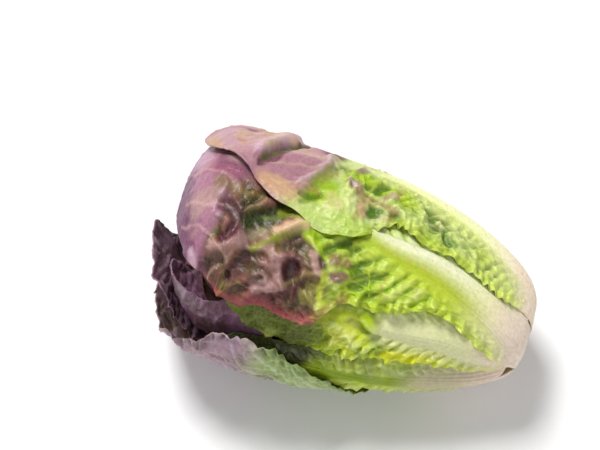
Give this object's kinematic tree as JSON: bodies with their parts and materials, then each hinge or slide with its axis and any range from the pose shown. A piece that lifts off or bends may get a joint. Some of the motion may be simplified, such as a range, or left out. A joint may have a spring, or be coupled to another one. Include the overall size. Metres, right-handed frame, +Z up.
{
  "type": "romaine lettuce head",
  "caption": "Red-tipped romaine lettuce head lying on its side: broad crinkled leaves with thick pale ribs wrapped round a tighter heart, held by a short cut stem.",
  "frame": {"origin": "on the ground, under the middle of the head's bounding box", "axes": "+Z up; +X towards the cut stem end, -X towards the leaf tips; -Y is the side with the long waved margin of the main leaf"},
  "size_m": [0.2394, 0.1472, 0.1284],
  "materials": {
    "stem": "moist cut stem, cream with a browned rim",
    "red_leaf": "soft waxy leaf, mauve and bronze over yellow-green, pale rib",
    "dark_leaf": "soft waxy leaf, dark purple",
    "pale_leaf": "soft waxy leaf, cream-white rib and yellow-green blade",
    "heart_leaf": "soft leaf, pale yellow-green"
  },
  "bodies": {
    "root": {"leaf_top_back": "red_leaf", "leaf_top_main": "red_leaf", "leaf_low_front": "red_leaf", "leaf_low_back": "dark_leaf", "leaf_mid_front": "pale_leaf", "leaf_side_front": "pale_leaf", "leaf_low_inner": "dark_leaf", "leaf_side_back": "pale_leaf", "heart_leaf_01": "heart_leaf", "heart_leaf_02": "heart_leaf", "heart_leaf_03": "heart_leaf", "heart_leaf_04": "heart_leaf", "heart_leaf_05": "heart_leaf", "heart_leaf_06": "heart_leaf", "heart_leaf_07": "heart_leaf", "heart_leaf_08": "heart_leaf", "heart_leaf_09": "heart_leaf", "heart_leaf_10": "heart_leaf", "heart_leaf_11": "heart_leaf", "heart_leaf_12": "heart_leaf", "core_stem": "stem"}
  },
  "joints": []
}
